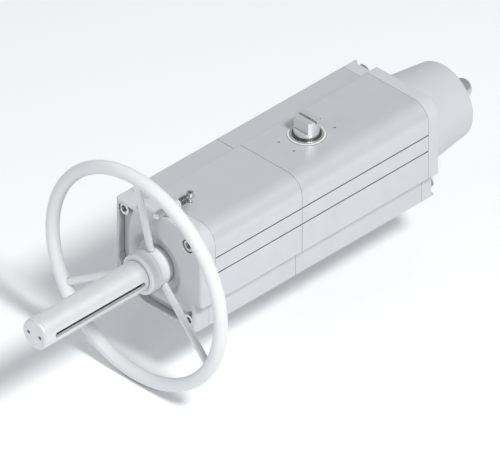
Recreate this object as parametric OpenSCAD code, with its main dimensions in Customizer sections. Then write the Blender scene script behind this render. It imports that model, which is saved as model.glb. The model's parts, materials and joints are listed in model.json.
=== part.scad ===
// Spring-return pneumatic quarter-turn actuator with a jackscrew handwheel override.
// The origin is on the output shaft's axis, in the plane of the valve flange. +Z runs up the shaft,
// and +X runs along the cylinder from the handwheel towards the spring can.

/* [Body] */
// Half the width of the square part of the extruded section
body_half = 78; // [76:1:84]
// Height of the raised top and side pads above the square section
pad_rise = 13; // [9:0.5:16]
// How far each raised pad runs past the cylinder axis
pad_reach = 31.6; // [22:0.2:40]
// Radius of the rounded corner between the top pad and the side pad
corner_r = 28; // [16:1:32]
// Radius on the small outer corners of the section
edge_r = 3; // [1:0.5:5]
// Depth and length of the small step at each end of a body section, which marks the joints
joint_step = 0.5; // [0.3:0.1:0.8]
// Length of the front body section, between the front cap and the seam
front_body_len = 169.6; // [160:0.4:220]
// Distance from the seam to the shaft axis
seam_to_shaft = 82.4; // [70:0.4:100]
// Distance from the shaft axis to the rear cap
shaft_to_rear = 167; // [160:1:200]
// Diameter of the cylinder bore
bore_d = 125; // [116:1:126]
// Width of each decorative groove along the side pad
line_groove_w = 2.2; // [1:0.1:4]
// Depth of each decorative groove
line_groove_depth = 1.6; // [0.5:0.1:3]
// Height of the upper groove above the cylinder axis
upper_groove_z = 43.7; // [30:0.1:55]
// Height of the lower groove above the cylinder axis
lower_groove_z = 16.8; // [0:0.1:28]
// Sideways distance from the cylinder axis to the shaft axis
shaft_offset = 17.5; // [16:0.5:19]

/* [Caps] */
// Thickness of the front cap
front_cap_len = 27; // [25:1:32]
// Thickness of the rear cap
rear_cap_len = 19; // [15:1:24]
// Distance of each tie bolt from the cylinder axis, sideways and up
bolt_offset = 63; // [60:1:65]
// Diameter of the tie bolts
bolt_d = 12; // [10:1:12]
// Diameter of the tie bolt heads
bolt_head_d = 18; // [16:0.5:19]
// Depth of the pocket and the counterbores in the front cap
pocket_depth = 12; // [9:0.5:14]
// Width of the rim round the front cap's pocket
rim_w = 6; // [4:0.5:8]
// Radius of the two arcs that bound the front cap's raised block
block_r = 177; // [150:1:200]
// Sideways distance of the first arc's centre from the cylinder axis
block_centre = 125; // [100:1:140]
// Offset of the arc centres from the axes
block_shift = 14; // [5:1:20]
// Radius of the pocket's outer bound in the corner furthest from the pads
pocket_r = 74; // [70:0.5:76]
// Radius of the rounded front edges of the front cap
front_round = 5; // [2:0.5:7]
// Height of the corner rim on the rear cap
rear_rim_rise = 5; // [2:0.5:8]
// Width of the corner rim on the rear cap
rear_rim_w = 5; // [3:0.5:8]
// Across-flats size of the rear bolts' heads
rear_head_af = 19; // [17:1:20]
// Height of the rear bolts' heads
rear_head_h = 10.5; // [7:0.5:12]
// Length of thread of the tie bolts and the rear bolts in the body
thread_grip = 24; // [18:1:30]

/* [Spring can] */
// Radius of the can's straight foot, where it leaves the rear cap
can_base_r = 69.5; // [67:0.5:70]
// Length of the can's straight foot
can_foot = 15; // [5:1:25]
// Radius of the can at its far end
can_end_r = 59.5; // [57:0.5:62]
// Length of the can past the rear cap
can_len = 106; // [100:0.5:130]
// Wall of the can
can_wall = 3.6; // [3:0.1:4]
// Radius of the can's rounded far edge
can_round = 7; // [4:0.5:10]
// Wire diameter of the return spring
spring_wire = 10; // [7:0.5:11]
// Mean coil radius of the return spring
spring_r = 45; // [40:0.5:46]
// Turns of the return spring
spring_turns = 7; // [5:1:8]
// Diameter of the stop screw
stop_d = 12; // [10:1:12]
// Across-flats size of the stop screw's lock nut
stop_nut_af = 19; // [17:1:20]
// Radius of the domed cap over the stop screw
dome_r = 15.5; // [15:0.5:20]
// Length of the domed cap
dome_len = 46.5; // [44:0.5:55]

/* [Drive] */
// Tooth module of the rack and pinion
tooth_module = 3; // [2.9:0.05:3]
// Teeth on the pinion
pinion_teeth = 24; // [24:4:24]
// Height of the pinion
pinion_h = 44; // [36:1:46]
// Height of the rack
rack_h = 40; // [30:1:42]
// Depth of the rack bar behind its pitch line
rack_back = 27; // [20:0.5:28]
// Backlash between rack and pinion, along the pitch line
backlash = 0.3; // [0.2:0.05:0.5]
// Thickness of each piston
piston_len = 30; // [26:1:32]
// Gap between the pinion's teeth and the rear piston at rest
rear_piston_gap = 12; // [6:1:20]
// Running clearance of a turning or sliding fit, on the radius
run_gap = 0.05; // [0.03:0.01:0.08]
// Gap between pieces that meet at a stop
stop_gap = 0.3; // [0.2:0.05:0.5]

/* [Output shaft] */
// Diameter of the shaft's upper end
shaft_d = 36.5; // [34:0.5:38]
// Height of the shaft's end above the top pad
shaft_rise = 30; // [24:1:34]
// Height of the flats on the shaft's end
flat_h = 18; // [14:1:20]
// Distance across the two flats
across_flats = 23; // [20:0.5:28]
// Width of the slot across the shaft's end
slot_w = 4; // [3:0.25:5]
// Depth of the slot across the shaft's end
slot_depth = 4; // [2:0.5:5]
// Radius of the shaft's lower journal and its shoulder
journal_r = 24; // [22:0.5:26]
// Side of the square socket for the valve stem
stem_square = 22; // [17:0.5:22]
// Depth of the square socket
stem_depth = 26; // [24:1:32]
// Depth of the shaft's lower end inside the valve flange, where a centring ring fits
shaft_recess = 4; // [3:0.5:5]
// Outer radius of the lower bearing
lower_bearing_r = 39.5; // [39.5:0.25:41]
// Radius of the flange on the upper bush
bush_flange_r = 27; // [25:0.5:29]

/* [Interfaces] */
// Bolt circle of the valve flange
flange_pcd = 102; // [100:1:104]
// Tapping radius of the valve flange's M10 holes
flange_hole_r = 4.25; // [3.5:0.25:4.5]
// Depth of the valve flange's holes
flange_hole_depth = 14; // [10:1:15]
// Hole spacing of the top pattern along the body
top_spacing_x = 80; // [60:10:90]
// Hole spacing of the top pattern across the body
top_spacing_y = 30; // [30:10:30]
// Tapping radius of the M5 holes
small_hole_r = 2.1; // [1.6:0.1:2.5]
// Tapping radius of the two air ports
port_r = 5.9; // [5:0.1:6.5]
// Wall of the threaded insert in each air port
port_insert_wall = 2.6; // [2:0.1:3]
// Spacing of the two air ports
port_spacing = 24; // [22:1:28]
// Distance of the ports' centre from the shaft axis, along the body
port_x = 60; // [50:1:90]
// Spacing of the port pattern's fixing holes along the body
port_fixing_x = 32; // [30:1:36]
// Spacing of the port pattern's fixing holes up the body
port_fixing_z = 24; // [22:1:30]
// Depth of the M5 holes
small_hole_depth = 9; // [6:1:12]

/* [Handwheel] */
// Radius of the rim's centre line
wheel_r = 165; // [140:1:200]
// Thickness of the rim
rim_d = 20; // [16:0.5:24]
// Distance of the rim's plane in front of the front cap
rim_forward = 36.4; // [30:0.2:50]
// Thickness of the spokes
spoke_d = 10.4; // [8:0.2:12]
// Number of spokes
spokes_n = 3; // [3:1:3]
// Distance of the spokes' roots in front of the front cap
spoke_root = 8.5; // [7:0.5:10]
// Radius of the hub and of its lock collar
hub_r = 30.4; // [29:0.2:34]
// Length of the hub
hub_len = 15.3; // [14:0.1:18]
// Length of the lock collar
collar_len = 18.4; // [16:0.1:24]
// Gap between the hub and the front cap
hub_gap = 0.3; // [0.3:0.1:2]
// Outer radius of the protective tube
tube_r = 23; // [22:0.25:24]
// Wall of the protective tube
tube_wall = 5; // [4:0.25:6]
// Length of the protective tube past the collar
tube_len = 199.8; // [190:0.2:240]
// Width of the slot in the protective tube
tube_slot_w = 8.7; // [6:0.1:10]
// Length of the slot in the protective tube
tube_slot_len = 174; // [120:1:180]
// Distance of the slot from the collar
tube_slot_gap = 7; // [5:0.5:12]
// Distance between the two spanner holes in the tube's end
spanner_spacing = 22; // [16:1:24]
// Diameter of the spanner holes
spanner_hole_d = 6; // [4:0.5:7]

/* [Override screw] */
// Diameter of the spindle
spindle_d = 28; // [26:0.5:28]
// Distance of the spindle's outer end in front of the front cap
spindle_tail = 200; // [150:1:205]
// Radius of the drive sleeve
sleeve_r = 20; // [19:0.25:20.5]
// Reach of the spindle guide into the cylinder, past the front cap
guide_reach = 75; // [70:1:90]

/* [Wheel lock] */
// Sideways place of the lock pin, from the cylinder axis
lock_y = -17.5; // [-20:0.5:-12]
// Height of the lock pin's axis above the top pad
lock_rise = 8.5; // [8:0.5:10]
// Radius of the lock pin
lock_pin_r = 4; // [3.7:0.1:4]
// Distance of the lock pin's front end in front of the front cap
lock_reach = 16.5; // [12:0.5:17]
// Travel of the lock pin
lock_travel = 9; // [6:1:9]
// Length of the lock spring at rest
lock_spring_len = 17.5; // [17:0.5:20]

/* [Hidden] */
$fn = 64;
bore_r = bore_d / 2;
pad_top = body_half + pad_rise;
cap_front = 0;
body_start = front_cap_len;
seam_x = body_start + front_body_len;
shaft_x = seam_x + seam_to_shaft;
body_end = shaft_x + shaft_to_rear;
can_start = body_end + rear_cap_len;
can_end = can_start + can_len;
axis_h = body_half;
pad_h = axis_h + pad_top;
e = 1;

seal_r = bore_r + 4;
seal_section = 1.5;
spigot_seal = 1.3;
bolt_r = bolt_d / 2;
bolt_gap = 0.3;
can_flange = 4;
can_flange_r = can_base_r + 6;
dome_wall = 2.8;
channel_r = 3;
channel_out = bore_r + 16;
channel_angle = 30;
channel_seal = 0.9;
port_floor = 3.5;
port_depth = body_half - bore_r - port_floor;
port_insert_half = port_r + port_insert_wall;
riser_shift = 2;
port_a = shaft_x + port_x - port_spacing / 2;
port_b = port_a + port_spacing;

spring_rim = 12;
carriage_screw_r = 4;
carriage_screw_len = 44;
carriage_head_r = 6.5;
carriage_head_h = 8;
carriage_sink = 1;
rack_pad_front = 30;
rack_pad_rear = 25;
rack_pad_w = 26;

pitch_r = tooth_module * pinion_teeth / 2;
tip_r = pitch_r + tooth_module;
root_r = pitch_r - 1.25 * tooth_module;
stroke = pitch_r * PI / 2;
pitch = PI * tooth_module;
pressure = 20;
pitch_y = pitch_r - shaft_offset;
rack_back_y = pitch_y + rack_back;
base_r = pitch_r * cos(pressure);
half_tooth = 90 / pinion_teeth - backlash / 4 / pitch_r * 180 / PI;
flank_r = [for (i = [0:5]) max(base_r, root_r) + (tip_r - max(base_r, root_r)) * i / 5];

spindle_r = spindle_d / 2;
spigot_len = 6;
flange_len = 7;
guide_start = body_start - 4;
guide_flange_x = body_start + spigot_len;
guide_end = body_start + guide_reach;
guide_seat_r = 30;
guide_tube_r = 21;
guide_flange_r = 44;
guide_screw_circle = 36;
guide_screw_grip = 11;
front_piston_x = guide_end + 3;
rear_piston_x = shaft_x + tip_r + rear_piston_gap;
rack_start = front_piston_x + piston_len;
rack_end = rear_piston_x;
rear_piston_back = rear_piston_x + piston_len;
piston_r = bore_r - 0.5;
screw_y = pitch_y + 16;
screw_spacing = 22;
screw_grip = 18;
stop_tip = rear_piston_back + stroke + stop_gap;
spring_seat_x = can_end - can_wall - 4;
ring_r = bore_r - run_gap - 0.03;
groove_r = piston_r - 3.6;

sleeve_end = guide_start - 0.15;
thrust_start = pocket_depth - 2;
thrust_len = 6;
bush_r = sleeve_r + 4;
hub_back = -hub_gap;
hub_front = hub_back - hub_len;
collar_front = hub_front - collar_len;
tube_seat = 7;
tube_start = collar_front + tube_seat;
tube_end = collar_front - tube_len;
plug_len = 14;
key_w = 8;
key_start = guide_start + 5;
key_len = 8;
keyway_floor = spindle_r - 4;

shaft_r = shaft_d / 2;
shaft_top = pad_h + shaft_rise;
shoulder_gap = 0.4;
pinion_low = axis_h - pinion_h / 2;
pinion_top = axis_h + pinion_h / 2;
bush_r_out = shaft_r + 4.7;
bush_low = axis_h + sqrt(bore_r * bore_r - shaft_offset * shaft_offset) + 3;
bush_flange_h = 1.4;
washer_h = 1.5;
clip_h = 1.6;
washer_low = pad_h + bush_flange_h + run_gap;
clip_low = washer_low + washer_h;
clip_r = shaft_r + 2.4;
lower_clip_low = shaft_recess + 0.2;
lower_clip_h = 2;
bearing_low = lower_clip_low + lower_clip_h;
bearing_h = 9.2;
upper_seal_z = pad_h - 12;
lower_seal_z = bearing_low + bearing_h / 2;

lock_z = pad_top + lock_rise;
boss_r = 7.5;
boss_round = 3;
lock_nose_r = 5.3;
lock_wire = 1.3;
lock_collar = 1;
lock_spring_r = lock_pin_r + lock_wire / 2 + 0.3;
lock_screw_r = 3;
lock_head_r = 5.3;
lock_flat = 2;
lock_spring_end = body_start + lock_spring_len;
lock_screw_x = lock_spring_end + lock_collar + lock_head_r;

body_front();
body_rear();
port_inserts();
seam_seal();
front_cap();
front_cap_seal();
rear_cap();
can_seal();
tie_bolts();
rear_bolts();
spring_can();
spring_seat();
stop_screw();
stop_nut();
stop_dome();
return_spring();
front_piston();
rear_piston();
rack();
rack_pad();
carriage_screws();
piston_seals();
guide_rings();
pinion_shaft();
upper_bush();
shaft_washer();
shaft_clip();
shaft_seals();
lower_bearing();
bearing_clip();
drive_sleeve();
sleeve_bush();
sleeve_seal();
thrust_bearing();
spindle();
spindle_nose();
spindle_guide();
guide_screws();
guide_key();
rod_seal();
hub();
hub_key();
hub_collar();
handwheel_rim();
spokes();
protective_tube();
tube_plug();
lock_pin();
lock_spring();
lock_screw();

// Placing and drawing helpers. Along the cylinder, X is measured from the front cap's front face,
// and Y and Z from the cylinder axis.
module on_axis() translate([-shaft_x, shaft_offset, axis_h]) children();

module at_x(x) translate([x, 0, 0]) children();

module along_x(x0, x1) at_x(x0) rotate([90, 0, 90]) linear_extrude(x1 - x0) children();

module rod(x0, x1, r) at_x(x0) rotate([0, 90, 0]) cylinder(h = x1 - x0, r = r);

module upright_block(x, y, h) translate([-x / 2, -y / 2, -h]) cube([x, y, h]);

module ring(x0, x1, r_in, r_out) turned([[x0, r_in], [x1, r_in], [x1, r_out], [x0, r_out]]);

module turned(points) rotate([0, 90, 0]) rotate_extrude() polygon([for (p = points) [p[1], p[0]]]);

module o_ring(x, r, section) at_x(x) rotate([0, 90, 0]) rotate_extrude() translate([r, 0]) circle(section);

module upright(z0, z1, r) translate([0, 0, z0]) cylinder(h = z1 - z0, r = r);

module upright_ring(z0, z1, r_in, r_out) rotate_extrude()
    translate([r_in, z0]) square([r_out - r_in, z1 - z0]);

module at_bolts() for (y = [-1, 1], z = [-1, 1]) translate([0, y * bolt_offset, z * bolt_offset]) children();

function corner_arc(x, z, r, start) = [for (a = [start : 15 : start + 90]) [x + r * cos(a), z + r * sin(a)]];

// A rectangle from (y0, z0) to (y1, z1) with one radius for each corner, from the low corner round
module slab(y0, z0, y1, z1, radii) {
    y = [y0, y1, y1, y0];
    z = [z0, z0, z1, z1];
    sy = [1, -1, -1, 1];
    sz = [1, 1, -1, -1];
    polygon([for (i = [0:3]) let (r = radii[i], flip = i % 2 == 0)
        each (flip
            ? [[y[i], z[i] + sz[i] * r], [y[i] + sy[i] * r, z[i]]]
            : [[y[i] + sy[i] * r, z[i]], [y[i], z[i] + sz[i] * r]])]);
    for (i = [0:3])
        if (radii[i] > 0)
            translate([y[i] + sy[i] * radii[i], z[i] + sz[i] * radii[i]]) circle(radii[i]);
}

module square_part(inset) {
    h = body_half - inset;
    r = edge_r;
    slab(-h, -h, h, h, [r, r, r, r]);
}

module raised_part(inset) {
    h = pad_top - inset;
    reach = pad_reach - inset;
    slab(-h, -reach, reach, h, [edge_r, edge_r, edge_r, corner_r - inset]);
}

module section_outline(inset = 0) {
    square_part(inset);
    raised_part(inset);
}

module extruded_section(x0, x1) {
    difference() {
        union() {
            along_x(x0 + joint_step, x1 - joint_step) section_outline();
            along_x(x0, x1) section_outline(joint_step);
        }
        rod(x0 - e, x1 + e, bore_r);
        for (z = [upper_groove_z, lower_groove_z])
            translate([x0 - e, -pad_top - e, z - line_groove_w / 2])
                cube([x1 - x0 + 2 * e, line_groove_depth + e, line_groove_w]);
    }
}

// Face groove for an O-ring round the bore
module face_groove(x)
    ring(x - 2 * seal_section - 0.1, x + e, seal_r - seal_section - 0.1, seal_r + seal_section + 0.1);

// The two air channels lie in the wall on the side away from the pads, one above and one below the ports
module at_channel(side) rotate([side * channel_angle, 0, 0]) translate([0, channel_out, 0]) children();

// Short hole from a channel into the bore
module channel_outlet(x, side) at_channel(side) translate([x, e, 0])
    rotate([90, 0, 0]) cylinder(h = channel_out - bore_r + channel_r, r = channel_r);

// Hole from the bottom of a port to its channel
module channel_riser(x, side) translate([x, channel_out * cos(channel_angle), 0])
    rotate([side > 0 ? 0 : 180, 0, 0]) cylinder(h = channel_out * sin(channel_angle), r = channel_r);

module body_front() color("lightgray") on_axis() difference() {
    outlet_x = guide_flange_x + 5;
    extruded_section(body_start, seam_x);
    at_bolts() rod(body_start - e, seam_x + e, bolt_r + bolt_gap);
    face_groove(seam_x);
    at_channel(1) {
        rod(outlet_x - channel_r, seam_x + e, channel_r);
        rod(seam_x - 2 * channel_seal - 0.1, seam_x + e, channel_r + 2 * channel_seal + 0.2);
    }
    channel_outlet(outlet_x, 1);
}

module body_rear() color("silver") difference() {
    bore_top = axis_h + sqrt(bore_r * bore_r - shaft_offset * shaft_offset);
    riser_a = port_a + riser_shift;
    riser_b = port_b - riser_shift;
    outlet_x = body_end - 12;
    on_axis() difference() {
        extruded_section(seam_x, body_end);
        at_bolts() {
            rod(seam_x - e, seam_x + thread_grip + 2, bolt_r);
            rod(body_end - thread_grip - 2, body_end + e, bolt_r);
        }
        face_groove(body_end);
        at_ports() port_hexagon(port_depth + e, port_insert_half);
        port_fixing_holes();
        at_channel(1) rod(seam_x - e, riser_a + channel_r, channel_r);
        at_channel(-1) rod(riser_b - channel_r, outlet_x + channel_r, channel_r);
        channel_riser(riser_a, 1);
        channel_riser(riser_b, -1);
        channel_outlet(outlet_x, -1);
    }
    upright(bore_top - e, pad_h + e, bush_r_out);
    upright(pinion_top, bush_low, journal_r + e);
    upright(-e, pinion_low, lower_bearing_r);
    upright(lower_clip_low - 0.05, bearing_low + 0.05, lower_bearing_r + 1.6);
    for (a = [45 : 90 : 315]) rotate([0, 0, a]) translate([flange_pcd / 2, 0, 0])
        upright(-e, flange_hole_depth, flange_hole_r);
    for (x = [-1, 1], y = [-1, 1]) translate([x * top_spacing_x / 2, y * top_spacing_y / 2, 0])
        upright(pad_h - small_hole_depth, pad_h + e, small_hole_r);
}

// The two air ports and the fixing holes round them are on the side away from the pads
module at_ports(grow = e) for (x = [port_a, port_b])
    translate([x, body_half + grow, 0]) rotate([90, 0, 0]) children();

module port_fixing_holes() for (x = [-1, 1], z = [-1, 1])
    translate([shaft_x + port_x + x * port_fixing_x / 2, body_half + e, z * port_fixing_z / 2])
        rotate([90, 0, 0]) cylinder(h = small_hole_depth + e, r = small_hole_r);

// The inserts carry the ports' threads in the soft wall of the extrusion, and six flats keep them from turning
module port_hexagon(depth, half) rotate([0, 0, 30]) cylinder(h = depth, r = half / cos(30), $fn = 6);

module port_inserts() color("silver") on_axis() at_ports(0) difference() {
    port_hexagon(port_depth, port_insert_half - 0.02);
    translate([0, 0, -e]) cylinder(h = port_depth + 2 * e, r = port_r);
}

module seam_seal() color("black") on_axis() {
    o_ring(seam_x - seal_section, seal_r, seal_section - 0.02);
    at_channel(1) o_ring(seam_x - channel_seal, channel_r + channel_seal + 0.1, channel_seal - 0.02);
}

module can_seal() color("black") on_axis() o_ring(body_end - seal_section, seal_r, seal_section - 0.02);

// Front cap: a cast plate with a raised block, a pocket round two of its sides and a lock boss
module soft_plate(x0, x1, r) {
    hull() {
        for (a = [0 : 30 : 90])
            along_x(x0 + r * (1 - cos(a)), x1) square_part(r * (1 - sin(a)), $fn = 32);
    }
    hull() {
        for (a = [0 : 30 : 90])
            along_x(x0 + r * (1 - cos(a)), x1) raised_part(r * (1 - sin(a)), $fn = 32);
    }
}

module pocket_outline() {
    h = body_half - rim_w;
    difference() {
        slab(-h, -h, h, h, [8, 8, 8, 8]);
        intersection() {
            translate([-block_centre, block_shift]) circle(block_r);
            translate([-block_shift, block_centre]) circle(block_r);
        }
        difference() {
            translate([0, -body_half]) square(body_half);
            circle(pocket_r);
        }
    }
}

module front_cap() color("gainsboro") on_axis() {
    spigot_r = bore_r - run_gap;
    recess_in = bush_r + 4.5;
    recess_out = 52;
    recess_rim = 8;
    recess_floor = 40;
    recess_depth = 8.5;
    difference() {
        union() {
            soft_plate(cap_front, body_start, front_round);
            rod(body_start - e, guide_flange_x, spigot_r);
            translate([0, lock_y, lock_z]) turned(concat(
                [[body_start, 0], [cap_front, 0]],
                [for (a = [0 : 30 : 90])
                    [cap_front + boss_round * (1 - cos(a)), boss_r - boss_round * (1 - sin(a))]],
                [[body_start, boss_r]]
            ));
            translate([cap_front + boss_round, lock_y - boss_r, pad_top - e])
                cube([front_cap_len - boss_round, 2 * boss_r, lock_rise + e]);
        }
        along_x(-e, pocket_depth) pocket_outline();
        at_bolts() rod(-e, body_start + e, bolt_r + bolt_gap);
        for (y = [-1, 1]) translate([0, y * bolt_offset, -y * bolt_offset])
            rod(-e, pocket_depth, bolt_head_d / 2 + 1.5);
        turned(concat(
            [[-e, recess_in], [-e, recess_out]],
            [for (a = [0 : 11 : 44]) [recess_rim * (1 - cos(a)), recess_out - recess_rim * sin(a)]],
            [[recess_depth, recess_floor], [recess_depth, recess_in]]
        ));
        rod(-e, thrust_start + e, bush_r);
        rod(thrust_start, guide_flange_x + e, guide_seat_r);
        o_ring_groove(body_start + 2, spigot_r);
        at_guide_screws() rod(guide_flange_x - guide_screw_grip - 0.5, guide_flange_x + e, 3);
        translate([0, lock_y, lock_z]) rod(-e, body_start + e, lock_pin_r + run_gap);
    }
}

module o_ring_groove(x, r) ring(x, x + 2 * spigot_seal + 0.2, r - 2 * spigot_seal - 0.1, r + e);

module front_cap_seal() color("black") on_axis()
    o_ring(body_start + 2 + spigot_seal + 0.1, bore_r - run_gap - spigot_seal, spigot_seal - 0.02);

module rear_cap() color("gainsboro") on_axis() {
    difference() {
        union() {
            along_x(body_end, can_start) section_outline();
            along_x(can_start - e, can_start + rear_rim_rise) intersection() {
                section_outline();
                difference() {
                    translate([-body_half, -body_half]) square(2 * body_half);
                    translate([-body_half - e, -body_half + rear_rim_w])
                        square([2 * body_half - rear_rim_w + e, 2 * body_half]);
                }
            }
        }
        rod(body_end - e, can_start + e, can_base_r + 0.4);
        rod(body_end - e, body_end + can_flange, can_flange_r + 0.2);
        at_bolts() {
            rod(body_end - e, can_start + e, bolt_r + bolt_gap);
            rod(can_start, can_start + rear_rim_rise + e, rear_head_af / 2 / cos(30) + 0.6);
        }
    }
}

module hex(x0, x1, across) at_x(x0) rotate([0, 90, 0]) rotate([0, 0, 30])
    cylinder(h = x1 - x0, d = across / cos(30), $fn = 6);

module tie_bolts() color("silver") on_axis() at_bolts() {
    head_h = 9.4;
    head_front = pocket_depth - head_h;
    socket_af = 10;
    difference() {
        union() {
            rod(head_front, pocket_depth, bolt_head_d / 2);
            rod(pocket_depth - e, seam_x + thread_grip, bolt_r);
        }
        hex(head_front - e, head_front + head_h / 2, socket_af);
    }
}

module rear_bolts() color("silver") on_axis() at_bolts() {
    washer_face = 9.2;
    corner_bevel = 2;
    corner_r = rear_head_af / 2 / cos(30);
    head_end = can_start + rear_head_h;
    intersection() {
        hex(can_start, head_end, rear_head_af);
        turned([[can_start, 0], [can_start, corner_r + e], [head_end - corner_bevel, corner_r + e],
            [head_end, washer_face], [head_end, 0]]);
    }
    rod(body_end - thread_grip, can_start + e, bolt_r);
}

// Spring can with its clamped flange, tapered wall, rounded far edge and threaded end
module spring_can() color("gainsboro") on_axis() {
    end_in = can_end - can_wall;
    boss_in = can_end - 16;
    foot_end = can_start + can_foot;
    turned(concat(
        [[body_end, bore_r], [body_end, can_flange_r], [body_end + can_flange, can_flange_r],
            [body_end + can_flange, can_base_r], [foot_end, can_base_r]],
        [for (a = [0 : 15 : 90])
            [can_end - can_round + can_round * sin(a), can_end_r - can_round + can_round * cos(a)]],
        [[can_end, stop_d / 2], [boss_in, stop_d / 2], [boss_in, stop_d / 2 + 8], [end_in, stop_d / 2 + 12],
            [end_in, can_end_r - can_round], [can_end - can_round, can_end_r - can_wall],
            [foot_end, can_base_r - can_wall], [body_end + can_flange, can_base_r - can_wall]]
    ));
}

module spring_seat() color("dimgray") on_axis()
    ring(spring_seat_x, can_end - can_wall, stop_d / 2 + 13, spring_r + spring_wire / 2);

module stop_screw() color("silver") on_axis() {
    end = can_end + 26;
    difference() {
        turned([[stop_tip, 0], [stop_tip, stop_d / 2 - 1.5], [stop_tip + 1.5, stop_d / 2],
            [end - 1, stop_d / 2], [end, stop_d / 2 - 1], [end, 0]]);
        hex(end - 8, end + e, stop_d / 2);
    }
}

module stop_nut() color("silver") on_axis() difference() {
    hex(can_end, can_end + stop_d / 2, stop_nut_af);
    rod(can_end - e, can_end + stop_d / 2 + e, stop_d / 2);
}

module stop_dome() color("silver") on_axis() {
    round = dome_r - 2.5;
    end = can_end + dome_len;
    inside = dome_r - dome_wall;
    turned(concat(
        [[can_end, inside], [can_end, dome_r]],
        [for (a = [0 : 10 : 90]) [end - round + round * sin(a), dome_r - round + round * cos(a)]],
        [[end, 0], [end - round - 1, 0], [end - round - 1, inside]]
    ));
}

// A round wire wound along X. The ring of points at each step lies across the wire.
module coil(x0, x1, r, wire, turns, steps, sides) {
    n = turns * steps;
    run = x1 - x0 - wire;
    points = [for (i = [0:n], s = [0 : sides - 1])
        let (a = 360 * i / steps, b = 360 * s / sides, w = wire / 2 * cos(b))
            [x0 + wire / 2 + run * i / n + wire / 2 * sin(b), (r + w) * cos(a), (r + w) * sin(a)]];
    walls = [for (i = [0 : n - 1], s = [0 : sides - 1])
        let (t = (s + 1) % sides)
            [i * sides + s, i * sides + t, (i + 1) * sides + t, (i + 1) * sides + s]];
    start_face = [for (s = [sides - 1 : -1 : 0]) s];
    end_face = [for (s = [0 : sides - 1]) n * sides + s];
    polyhedron(points, concat(walls, [start_face, end_face]), convexity = 10);
}

module return_spring() color("dimgray") on_axis()
    coil(rear_piston_back + 0.1, spring_seat_x - 0.1, spring_r, spring_wire, spring_turns, 20, 8);

// Piston carriage: two pistons joined by the rack
module piston_blank(x) difference() {
    rod(x, x + piston_len, piston_r);
    for (g = [[2, 10.1], [14, 18.1]]) ring(x + g[0], x + g[1], groove_r, piston_r + e);
}

module front_piston() color("lightgray") on_axis() difference() {
    piston_blank(front_piston_x);
    carriage_screw_holes(front_piston_x, 1);
    rod(front_piston_x + 8, rack_start + e, 12);
}

module rear_piston() color("lightgray") on_axis() {
    difference() {
        union() {
            piston_blank(rear_piston_x);
            ring(rear_piston_back - e, rear_piston_back + spring_rim, 14, spring_r - spring_wire / 2 - 1);
        }
        carriage_screw_holes(rear_piston_x, -1);
    }
}

module at_carriage_screws() for (z = [-1, 1]) translate([0, screw_y, z * screw_spacing / 2]) children();

module carriage_screw_holes(x, side) at_carriage_screws() {
    seat = carriage_sink + carriage_head_h;
    back = x + piston_len + spring_rim + e;
    rod(x - e, back, carriage_screw_r + 0.2);
    rod(side > 0 ? x - e : x + piston_len - seat, side > 0 ? x + seat : back, carriage_head_r + 0.5);
}

module carriage_screws() color("silver") on_axis() at_carriage_screws() {
    screw(front_piston_x + carriage_sink, 1);
    screw(rear_piston_back - carriage_sink, -1);
}

module screw(x, side) {
    head = carriage_head_h;
    a = side > 0 ? [x, x + head] : [x - head, x];
    b = side > 0 ? [x + head - e, x + carriage_screw_len] : [x - carriage_screw_len, x - head + e];
    difference() {
        union() {
            rod(a[0], a[1], carriage_head_r);
            rod(b[0], b[1], carriage_screw_r);
        }
        hex(side > 0 ? x - e : x - head / 2, side > 0 ? x + head / 2 : x + e, 6);
    }
}

// Rack teeth point towards the shaft. A space is centred on the shaft at rest.
function rack_profile(first, last) =
    let (half = pitch / 4 - backlash / 4,
        tip = half - tooth_module * tan(pressure),
        foot = half + 1.25 * tooth_module * tan(pressure))
    [for (k = [first : last]) let (c = shaft_x + (k + 0.5) * pitch)
        each [[c - foot, pitch_y + 1.25 * tooth_module], [c - tip, pitch_y - tooth_module],
            [c + tip, pitch_y - tooth_module], [c + foot, pitch_y + 1.25 * tooth_module]]];

module rack() color("dimgray") on_axis() {
    first = -ceil((stroke + 14) / pitch);
    last = ceil(14 / pitch);
    root_y = pitch_y + 1.25 * tooth_module;
    difference() {
        translate([0, 0, -rack_h / 2]) linear_extrude(rack_h)
            polygon(concat([[rack_start, rack_back_y], [rack_start, root_y]],
                rack_profile(first, last), [[rack_end, root_y], [rack_end, rack_back_y]]));
        at_carriage_screws() {
            rod(rack_start - e, rack_start + screw_grip, carriage_screw_r);
            rod(rack_end - screw_grip, rack_end + e, carriage_screw_r);
        }
    }
}

module rack_pad() color("ivory") on_axis() intersection() {
    rod(shaft_x - rack_pad_front, shaft_x + rack_pad_rear, ring_r);
    translate([shaft_x - rack_pad_front, rack_back_y, -rack_pad_w / 2])
        cube([rack_pad_front + rack_pad_rear, bore_r, rack_pad_w]);
}

module piston_seals() color("black") on_axis() for (x = [front_piston_x, rear_piston_x])
    o_ring(x + 16.05, ring_r - 2, 1.98);

module guide_rings() color("ivory") on_axis() for (x = [front_piston_x, rear_piston_x])
    ring(x + 2.05, x + 10.05, groove_r, ring_r);

// Output shaft in one piece with its involute pinion
function inv_angle(a) = tan(a) * 180 / PI - a;

function flank_angle(r) = half_tooth + inv_angle(pressure) - (r > base_r ? inv_angle(acos(base_r / r)) : 0);

function tooth(c) = concat(
    [[root_r, c - flank_angle(base_r) - 0.2]],
    [for (r = flank_r) [r, c - flank_angle(r)]],
    [for (i = [5 : -1 : 0]) [flank_r[i], c + flank_angle(flank_r[i])]],
    [[root_r, c + flank_angle(base_r) + 0.2]]);

module pinion_outline() polygon([for (k = [0 : pinion_teeth - 1], p = tooth(k * 360 / pinion_teeth))
    [p[0] * cos(p[1]), p[0] * sin(p[1])]]);

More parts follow.
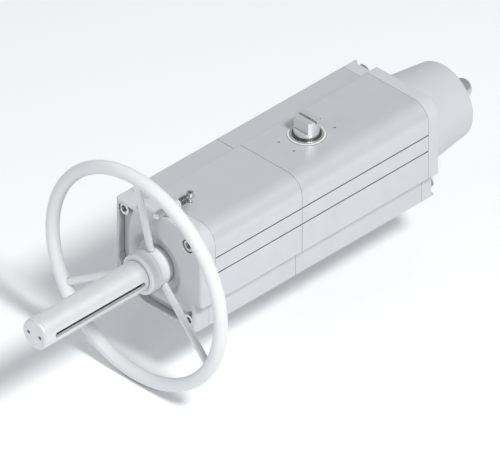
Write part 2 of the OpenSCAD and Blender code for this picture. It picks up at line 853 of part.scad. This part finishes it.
module pinion_shaft() color("silver") difference() {
    union() {
        upright(shaft_recess, pinion_low + e, journal_r);
        translate([0, 0, pinion_low]) linear_extrude(pinion_h) pinion_outline();
        upright(pinion_top - e, bush_low - shoulder_gap, journal_r);
        upright(pinion_top, shaft_top, shaft_r);
    }
    for (side = [-1, 1]) translate([side * (across_flats + shaft_d) / 2, 0, shaft_top + e])
        upright_block(shaft_d, 2 * shaft_d, flat_h + e);
    translate([-slot_w / 2, -shaft_d, shaft_top - slot_depth]) cube([slot_w, 2 * shaft_d, slot_depth + e]);
    upright(shaft_top - 16, shaft_top + e, 2.5);
    translate([-stem_square / 2, -stem_square / 2, 0])
        cube([stem_square, stem_square, stem_depth + shaft_recess]);
    upright_ring(clip_low - 0.05, clip_low + clip_h + 0.05, shaft_r - 1.3, shaft_r + e);
    upright_ring(upper_seal_z - 1.6, upper_seal_z + 1.6, shaft_r - 2.7, shaft_r + e);
    upright_ring(lower_seal_z - 1.6, lower_seal_z + 1.6, journal_r - 2.7, journal_r + e);
}

module upper_bush() color("ivory") {
    upright_ring(bush_low, pad_h + bush_flange_h, shaft_r + run_gap, bush_r_out - 0.02);
    upright_ring(pad_h, pad_h + bush_flange_h, bush_r_out - 0.02, bush_flange_r);
}

module shaft_washer() color("silver")
    upright_ring(washer_low, washer_low + washer_h, shaft_r, bush_flange_r - 3);

module shaft_clip() color("dimgray") difference() {
    upright_ring(clip_low, clip_low + clip_h, shaft_r - 1.3, clip_r);
    translate([0, -2, clip_low - e]) cube([clip_r + e, 4, clip_h + 2 * e]);
}

module shaft_seals() color("black") {
    translate([0, 0, upper_seal_z]) rotate_extrude() translate([shaft_r - 1.28, 0]) circle(1.28);
    translate([0, 0, lower_seal_z]) rotate_extrude() translate([journal_r - 1.28, 0]) circle(1.28);
}

module lower_bearing() color("ivory")
    upright_ring(bearing_low, bearing_low + bearing_h, journal_r + run_gap, lower_bearing_r - 0.02);

module bearing_clip() color("dimgray") difference() {
    upright_ring(lower_clip_low, lower_clip_low + lower_clip_h, lower_bearing_r - 6, lower_bearing_r + 1.5);
    translate([0, -6, 0]) cube([lower_bearing_r + 3, 12, bearing_low + e]);
}

// Override: the handwheel turns a nut sleeve, and the keyed spindle travels through it
module drive_sleeve() color("goldenrod") on_axis() difference() {
    union() {
        ring(tube_start, sleeve_end, spindle_r + run_gap, sleeve_r);
        ring(thrust_start + thrust_len + run_gap, sleeve_end, sleeve_r - e, guide_seat_r - 0.6);
    }
    key_block(0.02);
}

module key_block(gap) translate([hub_front + 1.5 - gap, -3 - gap, sleeve_r - 2.6])
    cube([hub_len - 3 + 2 * gap, 6 + 2 * gap, 5.2 + gap]);

module hub_key() color("dimgray") on_axis() key_block(0);

module sleeve_bush() color("goldenrod") on_axis()
    ring(4, thrust_start, sleeve_r + run_gap, bush_r - 0.02);

module sleeve_seal() color("black") on_axis() ring(0.6, 3.9, sleeve_r + run_gap, bush_r - 0.02);

module thrust_bearing() color("silver") on_axis() {
    race = 1.8;
    ball_r = (thrust_len - 2 * race) / 2 - 0.02;
    for (x = [thrust_start, thrust_start + thrust_len - race])
        ring(x, x + race, sleeve_r + 0.2, guide_seat_r - 0.3);
    for (a = [0 : 15 : 345]) rotate([a, 0, 0])
        translate([thrust_start + thrust_len / 2, sleeve_r + 5, 0]) sphere(ball_r);
}

module spindle() color("silver") on_axis() difference() {
    turned([[-spindle_tail, 0], [-spindle_tail, spindle_r - 1.5], [-spindle_tail + 1.5, spindle_r],
        [guide_end - 4, spindle_r], [guide_end - 4, 0]]);
    translate([key_start - stroke - 2, -key_w / 2 - 0.1, keyway_floor])
        cube([stroke + key_len + 2.3, key_w + 0.2, spindle_r]);
    rod(guide_end - 14, guide_end, 5);
}

module spindle_nose() color("dimgray") on_axis() {
    tip = front_piston_x - stop_gap;
    rod(guide_end - 13.9, guide_end - 4 + e, 5);
    turned([[guide_end - 4, 0], [guide_end - 4, spindle_r - 0.6], [tip - 1.2, spindle_r - 0.6],
        [tip, spindle_r - 3], [tip, 0]]);
}

module spindle_guide() color("gray") on_axis() difference() {
    union() {
        rod(guide_start, guide_flange_x + e, guide_seat_r - 0.02);
        rod(guide_flange_x, guide_flange_x + flange_len, guide_flange_r);
        rod(guide_flange_x, guide_end, guide_tube_r);
    }
    rod(guide_start - e, guide_end + e, spindle_r + run_gap);
    translate([guide_start - e, -key_w / 2, 0]) cube([key_len + 6 + e, key_w, spindle_r + 4]);
    ring(guide_end - 6, guide_end - 2.7, spindle_r, spindle_r + 3);
    at_guide_screws() rod(guide_flange_x - e, guide_flange_x + flange_len + e, 3.3);
}

module at_guide_screws() for (a = [45 : 90 : 315]) rotate([a, 0, 0])
    translate([0, guide_screw_circle, 0]) children();

module guide_screws() color("silver") on_axis() at_guide_screws() {
    head_x = guide_flange_x + flange_len;
    difference() {
        union() {
            rod(guide_flange_x - guide_screw_grip, head_x + e, 3);
            rod(head_x, head_x + 6, 5);
        }
        hex(head_x + 3, head_x + 6 + e, 5);
    }
}

module guide_key() color("dimgray") on_axis()
    translate([key_start, -key_w / 2, keyway_floor + 0.15])
        cube([key_len, key_w, spindle_r + 3.85 - keyway_floor]);

module rod_seal() color("black") on_axis()
    ring(guide_end - 5.95, guide_end - 2.75, spindle_r + run_gap, spindle_r + 2.98);

module hub() color("silver") on_axis() difference() {
    turned([[hub_back, sleeve_r], [hub_back, hub_r - 1], [hub_back - 1, hub_r], [hub_front + 0.5, hub_r],
        [hub_front, hub_r - 0.5], [hub_front, sleeve_r]]);
    key_block(0.02);
}

module hub_collar() color("silver") on_axis()
    turned([[hub_front, sleeve_r], [hub_front, hub_r - 0.5], [hub_front - 0.5, hub_r],
        [collar_front + 2, hub_r], [collar_front, hub_r - 2], [collar_front, tube_r],
        [tube_start, tube_r], [tube_start, sleeve_r]]);

module rim_torus(grow) at_x(-rim_forward) rotate([0, 90, 0]) rotate_extrude()
    translate([wheel_r, 0]) circle(rim_d / 2 + grow);

module handwheel_rim() color("gainsboro") on_axis() rim_torus(0);

module spokes() color("gainsboro") on_axis() difference() {
    drop = rim_forward - spoke_root;
    reach = wheel_r - hub_r;
    for (k = [0 : spokes_n - 1]) rotate([90 + k * 360 / spokes_n, 0, 0])
        translate([-spoke_root, hub_r, 0]) rotate([0, 0, atan2(drop, reach)])
            rotate([-90, 0, 0]) translate([0, 0, -6]) cylinder(h = norm([drop, reach]) + 2, d = spoke_d);
    rim_torus(0);
    rod(hub_front - e, hub_back + e, hub_r);
}

// Protective tube round the spindle's outer end, with a long slot that faces the front
module protective_tube() color("gainsboro") on_axis() {
    slot_start = collar_front - tube_slot_gap;
    slot_r = tube_slot_w / 2;
    round = 3;
    difference() {
        turned([[tube_start, tube_r - tube_wall], [tube_start, tube_r], [tube_end + round, tube_r],
            for (a = [15 : 15 : 90]) [tube_end + round - round * sin(a), tube_r - round + round * cos(a)],
            [tube_end, tube_r - tube_wall]]);
        for (x = [slot_start - slot_r, slot_start - tube_slot_len + slot_r])
            translate([x, 0, 0]) rotate([90, 0, 0]) cylinder(h = tube_r + e, r = slot_r);
        translate([slot_start - tube_slot_len + slot_r, -tube_r - e, -slot_r])
            cube([tube_slot_len - tube_slot_w, tube_r + e, tube_slot_w]);
    }
}

module tube_plug() color("gainsboro") on_axis() difference() {
    rod(tube_end, tube_end + plug_len, tube_r - tube_wall);
    for (y = [-1, 1]) translate([0, y * spanner_spacing / 2, 0])
        rod(tube_end - e, tube_end + 6, spanner_hole_d / 2);
}

// Wheel lock: pushed forward against its spring, the pin stands between the spokes
module lock_at() on_axis() translate([0, lock_y, lock_z]) children();

module lock_pin() color("silver") lock_at() difference() {
    end = lock_screw_x + lock_head_r;
    union() {
        rod(-lock_reach, end, lock_pin_r);
        turned([[-lock_reach, 0], [-lock_reach, lock_pin_r], [-lock_reach + 1.5, lock_nose_r],
            [-0.1, lock_nose_r], [-0.1, 0]]);
        rod(lock_spring_end, lock_spring_end + lock_collar, lock_nose_r);
    }
    translate([lock_screw_x, 0, 0]) upright(-lock_pin_r - e, lock_pin_r + e, lock_screw_r);
    translate([lock_spring_end + lock_collar, -lock_pin_r - e, lock_flat])
        cube([end, 2 * lock_pin_r + 2 * e, lock_pin_r]);
}

module lock_spring() color("dimgray") lock_at()
    coil(body_start + 0.05, lock_spring_end - 0.05, lock_spring_r, lock_wire, 6, 16, 6);

// The screw crosses the pin and serves as its handle
module lock_screw() color("silver") lock_at() translate([lock_screw_x, 0, 0]) difference() {
    head_h = 5.4;
    union() {
        upright(-lock_rise + 0.5, lock_flat + e, lock_screw_r);
        upright(lock_flat, lock_flat + head_h, lock_head_r);
    }
    translate([0, 0, lock_flat + head_h / 2]) cylinder(h = head_h, d = 5 / cos(30), $fn = 6);
}
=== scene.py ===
"""Looks of a spring-return pneumatic quarter-turn actuator with a handwheel override.

Everything is in metres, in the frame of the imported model: +X runs along the cylinder from the
handwheel towards the spring can, +Y towards the air ports, and +Z up the output shaft.
"""

import json
import math

import bmesh
import bpy
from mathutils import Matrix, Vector


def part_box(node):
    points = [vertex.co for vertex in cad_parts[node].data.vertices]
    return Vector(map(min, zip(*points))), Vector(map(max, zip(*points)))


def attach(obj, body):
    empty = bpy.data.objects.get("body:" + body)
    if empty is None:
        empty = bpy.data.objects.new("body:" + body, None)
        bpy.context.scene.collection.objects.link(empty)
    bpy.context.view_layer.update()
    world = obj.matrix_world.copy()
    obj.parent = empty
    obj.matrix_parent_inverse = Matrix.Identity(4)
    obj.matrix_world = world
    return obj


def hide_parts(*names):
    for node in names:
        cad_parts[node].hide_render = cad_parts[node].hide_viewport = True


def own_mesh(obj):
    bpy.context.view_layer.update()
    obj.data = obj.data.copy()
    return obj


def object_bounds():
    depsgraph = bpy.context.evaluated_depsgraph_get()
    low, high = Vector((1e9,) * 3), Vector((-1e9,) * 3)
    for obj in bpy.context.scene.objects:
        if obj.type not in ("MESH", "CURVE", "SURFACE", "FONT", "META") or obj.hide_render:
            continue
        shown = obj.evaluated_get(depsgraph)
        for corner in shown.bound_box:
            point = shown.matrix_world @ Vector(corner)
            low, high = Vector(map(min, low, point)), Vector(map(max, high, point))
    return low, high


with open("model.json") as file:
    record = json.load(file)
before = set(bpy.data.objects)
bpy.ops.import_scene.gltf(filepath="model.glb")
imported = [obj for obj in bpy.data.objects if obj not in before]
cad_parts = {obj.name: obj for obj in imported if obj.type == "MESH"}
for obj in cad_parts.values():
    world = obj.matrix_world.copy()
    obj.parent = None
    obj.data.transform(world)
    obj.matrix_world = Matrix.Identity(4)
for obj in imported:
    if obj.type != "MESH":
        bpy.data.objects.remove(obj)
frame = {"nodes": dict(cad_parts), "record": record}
cad_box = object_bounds()

MM = 0.001
SLOT_OF = {part["node"]: part["material_slot"] for part in frame["record"]["subparts"]}


# Camera: the photograph is an isometric drawing, so a very long lens stands in for a parallel view

LENS_MM = 1300.0
SENSOR_MM = 36.0
PICTURE_WIDTH = 0.694  # width of the photograph's frame at the object, 1.388 mm for each pixel
LOOK_AT = Vector((-0.093, 0.018, 0.053))  # the point at the middle of the picture
TOWARDS_CAMERA = Vector((-1, -1, 1)).normalized()
CLIP_NEAR = 0.5  # shares of the camera's distance
CLIP_FAR = 3


def make_camera():
    data = bpy.data.cameras.new("camera")
    data.lens = LENS_MM
    data.sensor_width = SENSOR_MM
    distance = PICTURE_WIDTH * LENS_MM / SENSOR_MM
    data.clip_start = distance * CLIP_NEAR
    data.clip_end = distance * CLIP_FAR
    camera = bpy.data.objects.new("camera", data)
    camera.location = LOOK_AT + TOWARDS_CAMERA * distance
    camera.rotation_mode = "QUATERNION"
    camera.rotation_quaternion = (-TOWARDS_CAMERA).to_track_quat("-Z", "Y")
    bpy.context.scene.collection.objects.link(camera)
    bpy.context.scene.camera = camera


# Stage: pale floor just under the handwheel, even sky, and softboxes, the strongest above the -Y side

FLOOR_GAP = 0.5 * MM
FLOOR_SIZE = 60.0
SKY_COLOUR = (0.92, 0.95, 1.0, 1.0)
SKY_STRENGTH = 0.46
LIT_POINT = Vector((-0.05, 0.0, 0.05))  # every softbox faces this point in the body
SOFTBOXES = {
    "key": {"place": (-0.6, -2.5, 3.2), "size": 0.8, "watts": 130.0},
    "fill": {"place": (-3.4, 0.6, 1.4), "size": 1.2, "watts": 14.0},
    "back": {"place": (0.8, 3.4, 2.4), "size": 2.0, "watts": 12.0},
}


def make_stage():
    bpy.context.scene.view_settings.view_transform = "Standard"
    make_floor()
    make_sky()
    for name, softbox in SOFTBOXES.items():
        add_softbox(name, **softbox)


def make_floor():
    low, high = cad_box
    z = low.z - FLOOR_GAP
    half = FLOOR_SIZE / 2
    mesh = bpy.data.meshes.new("floor")
    corners = [(-half, -half, z), (half, -half, z), (half, half, z), (-half, half, z)]
    mesh.from_pydata(corners, [], [(0, 1, 2, 3)])
    floor = bpy.data.objects.new("floor", mesh)
    bpy.context.scene.collection.objects.link(floor)
    floor.data.materials.append(floor_paint())


def make_sky():
    world = bpy.data.worlds.new("studio")
    world.use_nodes = True
    sky = world.node_tree.nodes["Background"]
    sky.inputs["Color"].default_value = SKY_COLOUR
    sky.inputs["Strength"].default_value = SKY_STRENGTH
    bpy.context.scene.world = world


def add_softbox(name, place, size, watts):
    data = bpy.data.lights.new(name, "AREA")
    data.shape = "DISK"
    data.size = size
    data.energy = watts
    light = bpy.data.objects.new(name, data)
    light.location = place
    aim = LIT_POINT - light.location
    light.rotation_mode = "QUATERNION"
    light.rotation_quaternion = aim.to_track_quat("-Z", "Y")
    bpy.context.scene.collection.objects.link(light)


# Building blocks of the materials

NOISE_RANGE = (0.3, 0.7)  # where most values of a noise texture lie
BEVEL_SAMPLES = 4
EDGE_COSINES = (1.0, 0.86)  # between a face's normal and the rounded one: on an open face, at an edge
# Painted shade: seams, grooves and inner corners are darkened by ambient occlusion, with some dirt
SHADE_AND_SOIL_SAMPLES = 8
SHADE_AND_SOIL_REACH = 3.0 * MM
SHADE_AND_SOIL_COLOUR = (0.13, 0.13, 0.135)
SHADE_AND_SOIL_OPENNESS = (0.35, 0.8)  # ambient light that reaches a spot: full painted shade and dirt, no painted shade or dirt


class Shader:
    """One node tree with a principled shader, and the nodes that drive it."""

    def __init__(self, name):
        self.material = bpy.data.materials.new(name)
        self.material.use_nodes = True
        self.tree = self.material.node_tree
        self.surface = self.tree.nodes["Principled BSDF"]

    def add(self, kind, **values):
        node = self.tree.nodes.new(kind)
        for key, value in values.items():
            setattr(node, key, value)
        return node

    def link(self, source, target):
        self.tree.links.new(source, target)

    def set(self, **values):
        """Sets the shader's own sockets: coat_weight is the socket Coat Weight."""
        for key, value in values.items():
            self.surface.inputs[key.replace("_", " ").title()].default_value = value

    def space(self, stretch=(1, 1, 1)):
        """The object's own coordinates, in metres, times stretch."""
        place = self.add("ShaderNodeTexCoord")
        mapping = self.add("ShaderNodeMapping")
        mapping.inputs["Scale"].default_value = stretch
        self.link(place.outputs["Object"], mapping.inputs["Vector"])
        return mapping.outputs["Vector"]

    def noise(self, space, scale=1.0, detail=2.0, roughness=0.5):
        node = self.add("ShaderNodeTexNoise")
        node.inputs["Scale"].default_value = scale
        node.inputs["Detail"].default_value = detail
        node.inputs["Roughness"].default_value = roughness
        self.link(space, node.inputs["Vector"])
        return node.outputs["Fac"]

    def spread(self, value, source, target):
        """The value with the range source spread over the range target."""
        node = self.add("ShaderNodeMapRange")
        limits = zip(("From Min", "From Max", "To Min", "To Max"), (*source, *target))
        for key, number in limits:
            node.inputs[key].default_value = number
        self.link(value, node.inputs["Value"])
        return node.outputs["Result"]

    def mix_colour(self, factor, dark, light):
        """Dark where the factor is 0 and light where it is 1, each a colour or a node's output."""
        node = self.add("ShaderNodeMix", data_type="RGBA")
        self.link(factor, node.inputs["Factor"])
        for key, colour in (("A", dark), ("B", light)):
            socket = [s for s in node.inputs if s.name == key and s.type == "RGBA"][0]
            if isinstance(colour, tuple):
                socket.default_value = (*colour, 1.0)
            else:
                self.link(colour, socket)
        return [s for s in node.outputs if s.type == "RGBA"][0]

    def soft_edges(self, radius):
        """The normal that a small fillet on every edge would give."""
        node = self.add("ShaderNodeBevel", samples=BEVEL_SAMPLES)
        node.inputs["Radius"].default_value = radius
        return node.outputs["Normal"]

    def edge_mask(self, radius):
        """1 along outer and inner edges, 0 on open faces."""
        flat = self.add("ShaderNodeNewGeometry")
        dot = self.add("ShaderNodeVectorMath", operation="DOT_PRODUCT")
        self.link(self.soft_edges(radius), dot.inputs[0])
        self.link(flat.outputs["Normal"], dot.inputs[1])
        return self.spread(dot.outputs["Value"], EDGE_COSINES, (0.0, 1.0))

    def shade_and_soil(self, colour):
        """Painted shade, with some dirt, darkening seams, grooves and inner corners where little ambient
        light reaches.
        """
        # painted shade, partly dirt: the colour darkens where ambient occlusion finds near surfaces
        node = self.add("ShaderNodeAmbientOcclusion", samples=SHADE_AND_SOIL_SAMPLES)
        node.inputs["Distance"].default_value = SHADE_AND_SOIL_REACH
        unshaded_and_clean = self.spread(node.outputs["AO"], SHADE_AND_SOIL_OPENNESS, (0.0, 1.0))
        return self.mix_colour(unshaded_and_clean, SHADE_AND_SOIL_COLOUR, colour)

    def bump(self, height, strength, distance, normal):
        node = self.add("ShaderNodeBump")
        node.inputs["Strength"].default_value = strength
        node.inputs["Distance"].default_value = distance
        self.link(height, node.inputs["Height"])
        self.link(normal, node.inputs["Normal"])
        return node.outputs["Normal"]

    def finish(self, colour, normal, grain, roughness):
        """The material, with painted crease shade and dirt on its colour, and roughness spread from low
        to high by its grain.
        """
        self.link(self.shade_and_soil(colour), self.surface.inputs["Base Color"])
        self.link(normal, self.surface.inputs["Normal"])
        self.link(self.spread(grain, NOISE_RANGE, roughness), self.surface.inputs["Roughness"])
        return self.material


def brighter(colour, times):
    return tuple(min(1.0, times * part) for part in colour)


# Materials: the scale of a noise is in cells for each metre

DRAW_LINES = (3, 900, 900)  # long along X, fine across it
ALONG_MARKS = 12  # turning marks are long round a piece
ACROSS_MARKS = 2600.0  # and fine along its axis


def floor_paint():
    shader = Shader("floor_paint")
    tone = shader.noise(shader.space(), scale=1.5, detail=1.0)
    colour = shader.mix_colour(tone, dark=(0.93, 0.935, 0.94), light=(0.95, 0.955, 0.96))
    shader.link(colour, shader.surface.inputs["Base Color"])
    shader.set(roughness=0.9)
    return shader.material


def anodised_extrusion():
    """Natural anodised aluminium with the faint draw lines of an extruded profile along X."""
    shader = Shader("anodised_extrusion")
    lines = shader.noise(shader.space(DRAW_LINES), detail=3.0)
    clouds = shader.noise(shader.space(), scale=28.0, detail=3.0)
    base = shader.mix_colour(clouds, dark=(0.56, 0.575, 0.59), light=(0.61, 0.625, 0.64))
    # painted highlight along every edge, standing in for reflections on rounded edges, partly rubbed wear
    colour = shader.mix_colour(shader.edge_mask(0.9 * MM), dark=base, light=(0.86, 0.87, 0.88))
    rounded = shader.soft_edges(0.8 * MM)
    normal = shader.bump(lines, strength=0.10, distance=0.15 * MM, normal=rounded)
    shader.set(metallic=0.35)
    return shader.finish(colour, normal, lines, roughness=(0.36, 0.47))


def powder_coat(name, dark, light, peel_scale=900.0, roughness=(0.42, 0.54)):
    """Powder coat on a casting: fine orange peel, and edges painted brighter, partly rubbed wear and
    partly a painted highlight.
    """
    shader = Shader(name)
    space = shader.space()
    peel = shader.noise(space, scale=peel_scale)
    clouds = shader.noise(space, scale=22.0, detail=4.0, roughness=0.6)
    base = shader.mix_colour(clouds, dark, light)
    # painted highlight along every edge, partly rubbed wear
    colour = shader.mix_colour(shader.edge_mask(0.9 * MM), dark=base, light=brighter(light, 1.3))
    rounded = shader.soft_edges(0.7 * MM)
    normal = shader.bump(peel, strength=0.16, distance=0.25 * MM, normal=rounded)
    shader.set(coat_weight=0.15, coat_roughness=0.35)
    return shader.finish(colour, normal, peel, roughness)


def turned_metal(name, dark, light, metallic=1.0, roughness=(0.26, 0.40), axis="x"):
    """Metal with fine turning marks across its axis."""
    shader = Shader(name)
    stretch = [ALONG_MARKS] * 3
    stretch["xyz".index(axis)] = ACROSS_MARKS
    marks = shader.noise(shader.space(stretch))
    clouds = shader.noise(shader.space(), scale=60.0, detail=4.0)
    base = shader.mix_colour(clouds, dark, light)
    # painted highlight along every edge, partly rubbed wear
    colour = shader.mix_colour(shader.edge_mask(0.3 * MM), dark=base, light=brighter(light, 1.15))
    rounded = shader.soft_edges(0.3 * MM)
    normal = shader.bump(marks, strength=0.10, distance=0.06 * MM, normal=rounded)
    shader.set(metallic=metallic)
    return shader.finish(colour, normal, marks, roughness)


def plain_moulding(name, dark, light, roughness):
    """Moulded plastic or rubber with a fine matt grain."""
    shader = Shader(name)
    space = shader.space()
    grains = shader.noise(space, scale=1500.0)
    clouds = shader.noise(space, scale=40.0, detail=3.0)
    colour = shader.mix_colour(clouds, dark, light)
    rounded = shader.soft_edges(0.3 * MM)
    normal = shader.bump(grains, strength=0.2, distance=0.1 * MM, normal=rounded)
    return shader.finish(colour, normal, grains, roughness)


def make_looks():
    """A look for each material slot of the record, and two more, shaft_steel and zinc_plate."""
    return {
        "extrusion": anodised_extrusion(),
        "casting": powder_coat("casting_coat", (0.52, 0.535, 0.55), (0.57, 0.585, 0.60)),
        "wheel_paint": powder_coat(
            "wheel_coat", (0.70, 0.71, 0.72), (0.75, 0.76, 0.77),
            peel_scale=1400.0, roughness=(0.30, 0.42),
        ),
        "steel": turned_metal("turned_steel", (0.56, 0.56, 0.57), (0.64, 0.64, 0.65)),
        "shaft_steel": turned_metal(
            "shaft_steel", (0.66, 0.66, 0.67), (0.74, 0.74, 0.75),
            metallic=0.7, roughness=(0.30, 0.44), axis="z",
        ),
        "zinc_plate": turned_metal(
            "zinc_plate", (0.66, 0.67, 0.68), (0.74, 0.75, 0.76), metallic=0.4, roughness=(0.36, 0.50)
        ),
        "dark_steel": turned_metal(
            "dark_steel", (0.10, 0.10, 0.105), (0.15, 0.15, 0.155), metallic=0.9, roughness=(0.38, 0.52)
        ),
        "stainless": turned_metal(
            "stainless", (0.62, 0.62, 0.62), (0.72, 0.72, 0.72), roughness=(0.22, 0.36)
        ),
        "spring_steel": turned_metal(
            "spring_steel", (0.30, 0.30, 0.31), (0.38, 0.38, 0.39), metallic=0.8, roughness=(0.34, 0.48)
        ),
        "bronze": turned_metal("bronze", (0.46, 0.32, 0.14), (0.58, 0.42, 0.20)),
        "nylon": plain_moulding("nylon", (0.70, 0.70, 0.67), (0.78, 0.78, 0.75), roughness=(0.45, 0.57)),
        "seal_rubber": plain_moulding(
            "seal_rubber", (0.012, 0.012, 0.012), (0.03, 0.03, 0.03), roughness=(0.55, 0.67)
        ),
        "piston_metal": turned_metal("piston_metal", (0.62, 0.63, 0.64), (0.70, 0.71, 0.72)),
    }


OWN_LOOK = {"pinion_shaft": "shaft_steel", "protective_tube": "zinc_plate", "tube_plug": "zinc_plate"}


def dress_cad(looks):
    for name, node in frame["nodes"].items():
        look = looks[OWN_LOOK.get(name, SLOT_OF[name])]
        node.data.materials.clear()
        node.data.materials.append(look)


# Pieces that replace plain solids


def new_piece(name, mesh_data, look, body, slot, *replaced):
    mesh = bpy.data.meshes.new(name)
    mesh_data.to_mesh(mesh)
    mesh_data.free()
    for face in mesh.polygons:
        face.use_smooth = True
    piece = bpy.data.objects.new(name, mesh)
    bpy.context.scene.collection.objects.link(piece)
    mesh.materials.append(look)
    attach(piece, body)
    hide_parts(*replaced)
    return piece


def centre_line(low, high):
    """Y and Z of the line along X through the middle of a box."""
    return ((low.y + high.y) / 2, (low.z + high.z) / 2)


def round_line(x, radius, angle, centre):
    """The point at x, radius and angle round the line along X through centre."""
    return Vector((x, centre[0] + radius * math.cos(angle), centre[1] + radius * math.sin(angle)))


# Springs

RETURN_WIRE = 10 * MM
RETURN_TURNS = 7
LOCK_WIRE = 1.3 * MM
LOCK_TURNS = 6.5
CLOSED_PITCH = 1.02  # pitch of a spring's closed end turns, in wire diameters
SPRING_STEPS = 40
WIRE_SIDES = 12


def spring_points(x0, x1, radius, wire, turns, centre):
    """The centre line of a compression spring along X with a closed turn at each end."""
    count = int(turns * SPRING_STEPS)
    closed = 1.0 / turns
    run = x1 - x0 - wire
    points = []
    for i in range(count + 1):
        share = i / count
        middle = min(1.0, max(0.0, (share - closed) / (1 - 2 * closed)))
        ends = min(share, closed) + max(0.0, share - 1 + closed)
        travel = ends * turns * wire * CLOSED_PITCH + middle * (run - 2 * wire * CLOSED_PITCH)
        angle = 2 * math.pi * i / SPRING_STEPS
        points.append(round_line(x0 + wire / 2 + travel, radius, angle, centre))
    return points


def tube_mesh(points, radius, centre):
    """A closed round tube along points that run round the line through centre, along X."""
    mesh = bmesh.new()
    rings = []
    for i, point in enumerate(points):
        ahead = points[min(i + 1, len(points) - 1)] - points[max(i - 1, 0)]
        forward = ahead.normalized()
        out = Vector((0, point.y - centre[0], point.z - centre[1])).normalized()
        up = forward.cross(out).normalized()
        out = up.cross(forward)
        ring = []
        for k in range(WIRE_SIDES):
            angle = 2 * math.pi * k / WIRE_SIDES
            ring.append(mesh.verts.new(point + radius * (math.cos(angle) * out + math.sin(angle) * up)))
        rings.append(ring)
    for one, two in zip(rings, rings[1:]):
        for k in range(WIRE_SIDES):
            n = (k + 1) % WIRE_SIDES
            mesh.faces.new((one[k], one[n], two[n], two[k]))
    mesh.faces.new(rings[0][::-1])
    mesh.faces.new(rings[-1])
    bmesh.ops.recalc_face_normals(mesh, faces=mesh.faces)
    return mesh


def make_spring(node, wire, turns, looks):
    """A finer coil in the place of a spring node."""
    low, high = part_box(node)
    centre = centre_line(low, high)
    radius = (high.z - low.z) / 2 - wire / 2
    points = spring_points(low.x, high.x, radius, wire, turns, centre)
    wire_mesh = tube_mesh(points, wire / 2, centre)
    coil = new_piece(node + "_coil", wire_mesh, looks["spring_steel"], "housing", "spring_steel", node)
    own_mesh(coil)


def make_springs(looks):
    make_spring("return_spring", RETURN_WIRE, RETURN_TURNS, looks)
    make_spring("lock_spring", LOCK_WIRE, LOCK_TURNS, looks)


# Spindle

THREAD_PITCH = 5 * MM
THREAD_DEPTH = 2.75 * MM
THREAD_FLAT = 0.73  # share of half a pitch that is flat, on the crest and in the root
THREAD_TO_HUB = 26 * MM  # the thread that shows ends this far outside the hub's outer face
THREAD_STEPS = 36
TURNS_BEFORE = 1.5  # turns that start before the threaded length, and are cut off
SPARE_TURNS = 2  # so that the helix runs past both ends
WELD = 1e-7  # points closer than this become one


def thread_mesh(x0, x1, major, centre):
    """A trapezoidal screw thread along X, closed at both ends."""
    flat = 0.5 * THREAD_PITCH * THREAD_FLAT
    slope = 0.5 * THREAD_PITCH - flat
    core = major - THREAD_DEPTH
    profile = ((0.0, major), (flat, major), (flat + slope, core), (2 * flat + slope, core))
    mesh = bmesh.new()
    turns = math.ceil((x1 - x0) / THREAD_PITCH) + SPARE_TURNS
    rows = []
    for k in range(turns * THREAD_STEPS + 1):
        angle = 2 * math.pi * k / THREAD_STEPS
        start = x0 - TURNS_BEFORE * THREAD_PITCH + THREAD_PITCH * k / THREAD_STEPS
        rows.append([mesh.verts.new(round_line(start + along, r, angle, centre)) for along, r in profile])
    for k in range(len(rows) - 1):
        for j in range(len(profile) - 1):
            mesh.faces.new((rows[k][j], rows[k][j + 1], rows[k + 1][j + 1], rows[k + 1][j]))
        next_turn = k + THREAD_STEPS
        if next_turn + 1 < len(rows):
            mesh.faces.new((rows[k][-1], rows[next_turn][0], rows[next_turn + 1][0], rows[k + 1][-1]))
    cut_and_close(mesh, x0, -1)
    cut_and_close(mesh, x1, 1)
    bmesh.ops.recalc_face_normals(mesh, faces=mesh.faces)
    return mesh


def cut_and_close(mesh, x, side):
    """Cuts off what lies beyond x, on the low side (-1) or the high side (1), and closes the cut."""
    geometry = mesh.verts[:] + mesh.edges[:] + mesh.faces[:]
    cut = bmesh.ops.bisect_plane(
        mesh, geom=geometry, plane_co=(x, 0, 0), plane_no=(side, 0, 0), clear_outer=True
    )
    edges = [e for e in cut["geom_cut"] if isinstance(e, bmesh.types.BMEdge)]
    bmesh.ops.contextual_create(mesh, geom=edges)


def make_spindle(looks):
    """The spindle with its screw thread, which shows through the protective tube's slot."""
    low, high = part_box("spindle")
    hub_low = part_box("hub")[0]
    thread_end = hub_low.x - THREAD_TO_HUB
    mesh = thread_mesh(low.x, thread_end, (high.z - low.z) / 2, centre_line(low, high))
    plain = bmesh.new()
    plain.from_mesh(frame["nodes"]["spindle"].data)
    bmesh.ops.remove_doubles(plain, verts=plain.verts, dist=WELD)
    cut_and_close(plain, thread_end, -1)
    rest = bpy.data.meshes.new("spindle_rest")
    plain.to_mesh(rest)
    plain.free()
    mesh.from_mesh(rest)
    bpy.data.meshes.remove(rest)
    new_piece("spindle_screw", mesh, looks["zinc_plate"], "spindle", "steel", "spindle")


make_camera()
make_stage()
finishes = make_looks()
dress_cad(finishes)
make_springs(finishes)
make_spindle(finishes)
